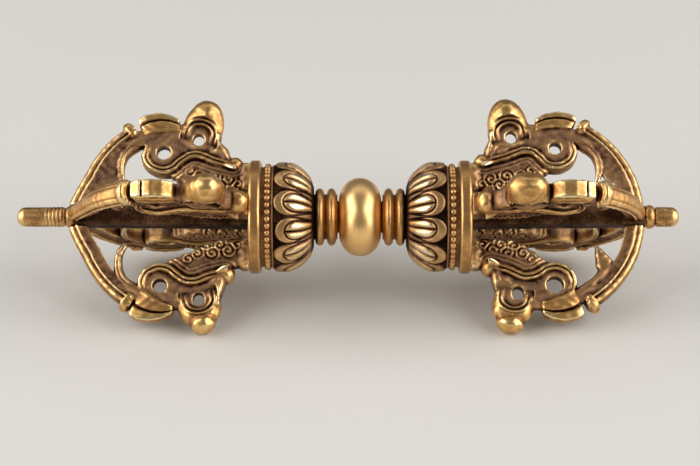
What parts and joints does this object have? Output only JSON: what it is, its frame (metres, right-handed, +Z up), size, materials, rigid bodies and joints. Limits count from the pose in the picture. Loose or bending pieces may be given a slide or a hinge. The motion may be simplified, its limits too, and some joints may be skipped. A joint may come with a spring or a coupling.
{
  "type": "dorje vajra",
  "caption": "Ritual vajra of aged brass: a polished bead between lotus collars with pearl bands, each end a cage of makara prongs closed round a central spike.",
  "frame": {"origin": "middle of the hub bead, on the axis", "axes": "+X along the axis towards the shorter spike, +Z up with the vajra lying on four curls, -Y the viewed side"},
  "size_m": [0.1496, 0.0402, 0.0402],
  "materials": {
    "polished_brass": "hand-polished cast brass",
    "aged_brass": "cast and chased brass, worn bright on the crests with brown patina in the hollows",
    "dark_brass": "cast brass under brown patina"
  },
  "bodies": {
    "root": {"hub_bead": "polished_brass", "left_inner_ring": "aged_brass", "left_outer_ring": "aged_brass", "left_lotus_collar": "aged_brass", "left_pearl_band": "aged_brass", "left_moon_disc": "aged_brass", "left_tip_ring": "aged_brass", "left_central_prong": "dark_brass", "left_front_upper_prong": "aged_brass", "left_front_lower_prong": "aged_brass", "left_back_upper_prong": "aged_brass", "left_back_lower_prong": "aged_brass", "right_inner_ring": "aged_brass", "right_outer_ring": "aged_brass", "right_lotus_collar": "aged_brass", "right_pearl_band": "aged_brass", "right_moon_disc": "aged_brass", "right_tip_ring": "aged_brass", "right_central_prong": "dark_brass", "right_front_upper_prong": "aged_brass", "right_front_lower_prong": "aged_brass", "right_back_upper_prong": "aged_brass", "right_back_lower_prong": "aged_brass"}
  },
  "joints": []
}
